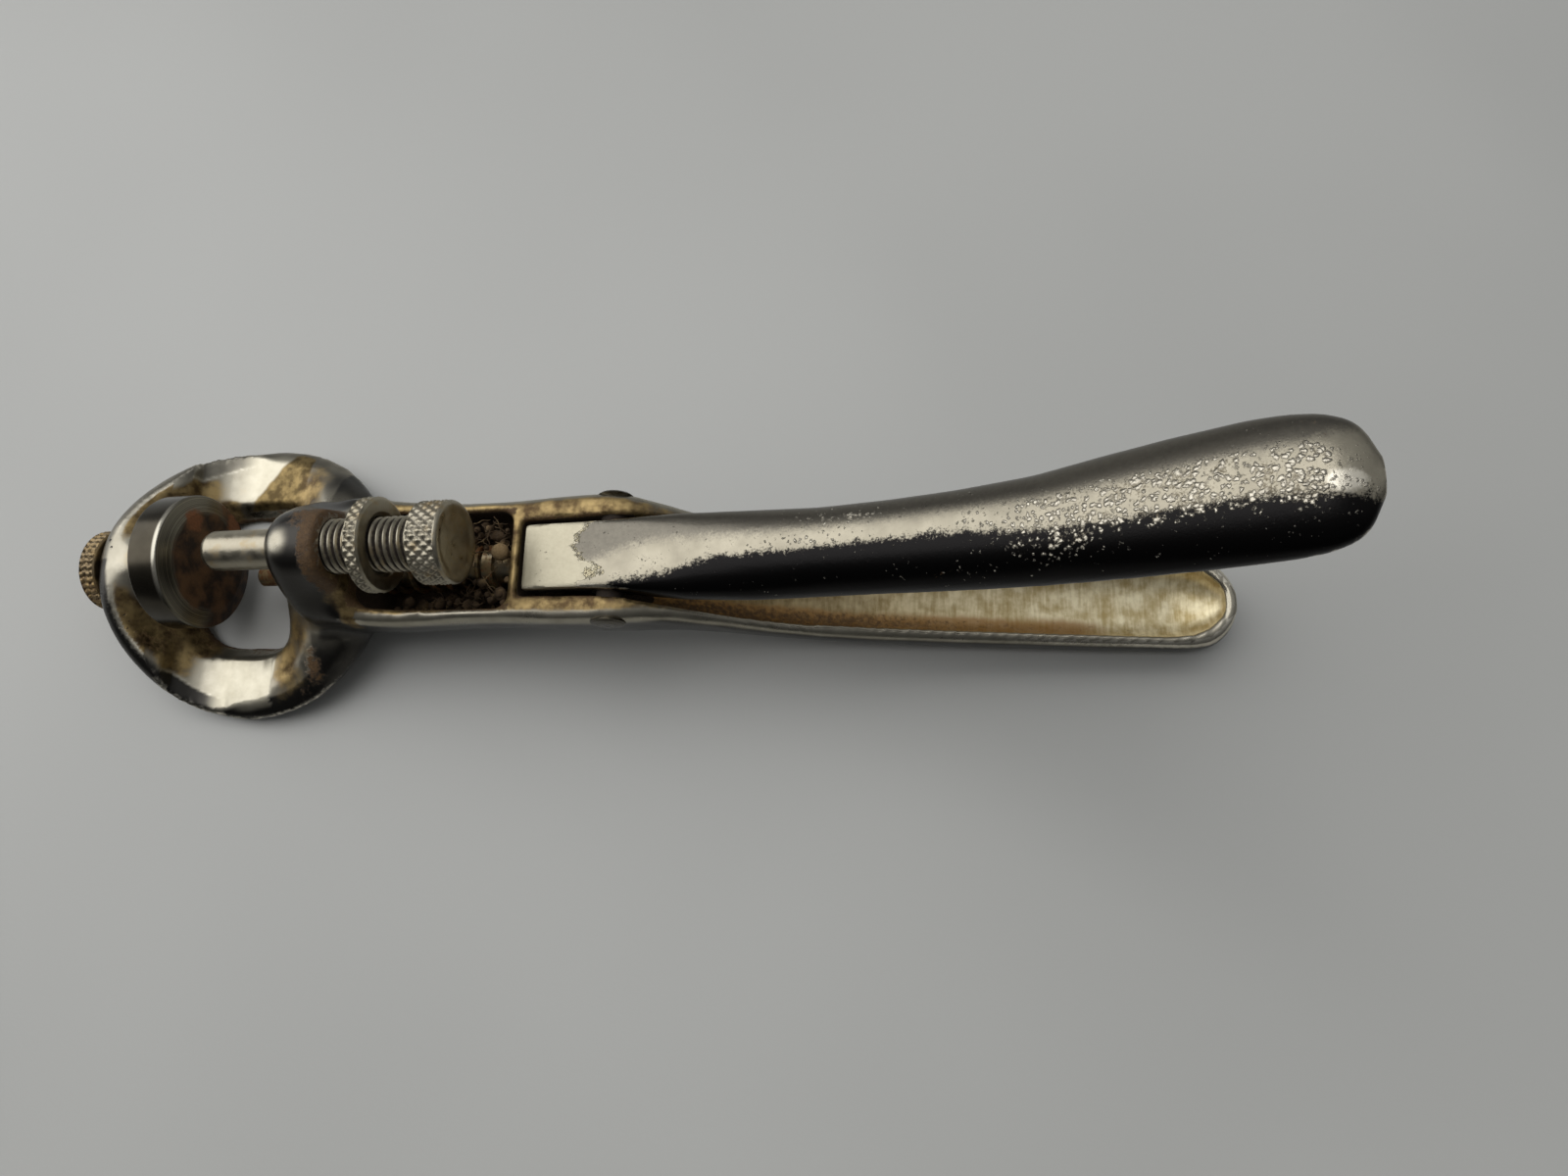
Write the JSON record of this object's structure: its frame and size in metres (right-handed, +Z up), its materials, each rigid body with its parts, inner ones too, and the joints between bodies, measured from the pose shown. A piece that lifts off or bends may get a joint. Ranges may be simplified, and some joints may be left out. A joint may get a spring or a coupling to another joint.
{
  "type": "hand saw set",
  "caption": "Plier-type hand saw set: a cast hoop with a round anvil disc, a gauge screw with lock nut, and a sprung plunger pushed by a pivoted lever handle.",
  "frame": {"origin": "middle of the tool's overall length and width, on the surface it rests on", "axes": "+X from the nose to the handle ends, +Y across the tool, +Z up towards the lever and the open side where the saw plate goes in"},
  "size_m": [0.1784, 0.0444, 0.064],
  "materials": {
    "casting": "worn nickel plate, semi-gloss, with yellowish stains and rust in the recesses",
    "anvil_steel": "turned and darkened, polished rim, rust in the middle",
    "aged_steel": "brown aged plate, knurled",
    "bright_steel": "worn plate, satin",
    "spring_wire": "dull with dirt",
    "lever_plate": "nickel plate worn through to dark steel"
  },
  "bodies": {
    "casting": {"frame": "casting", "pivot_pin": "bright_steel", "return_spring": "spring_wire"},
    "anvil": {"anvil_disc": "anvil_steel"},
    "anvil_nut": {"anvil_nut": "aged_steel"},
    "gauge": {"gauge_screw": "bright_steel"},
    "lock_nut": {"lock_nut": "bright_steel"},
    "plunger": {"plunger": "bright_steel"},
    "lever": {"lever": "lever_plate"}
  },
  "joints": [
    {"name": "lever_pivot", "type": "hinge", "parent": "casting", "child": "lever", "pos_m": [-0.00667, 0, 0.02163], "axis": [0, 1, 0], "range_deg": [0, 18], "stiffness_Nm_per_rad": 0.05, "springref_deg": -57.3},
    {"name": "plunger_slide", "type": "slide", "parent": "casting", "child": "plunger", "axis": [-0.977, 0, -0.213], "range_m": [0, 0.00152], "deforming": ["return_spring"]},
    {"name": "anvil_turn", "type": "hinge", "parent": "casting", "child": "anvil", "pos_m": [-0.07693, 0, 0.00918], "axis": [0.977, 0, 0.213], "range_deg": [-50, 50]},
    {"name": "anvil_nut_turn", "type": "hinge", "parent": "anvil", "child": "anvil_nut", "pos_m": [-0.08621, 0, 0.00715], "axis": [0.977, 0, 0.213], "continuous": true},
    {"name": "gauge_slide", "type": "slide", "parent": "casting", "child": "gauge", "axis": [-0.977, 0, -0.213], "range_m": [-0.003, 0.0015]},
    {"name": "lock_nut_slide", "type": "slide", "parent": "gauge", "child": "lock_nut", "axis": [0.977, 0, 0.213], "range_m": [-0.0036, 0.006]}
  ],
  "couplings": [
    {"joint": "plunger_slide", "follows": "lever_pivot", "m_per_rad": 0.0048}
  ]
}
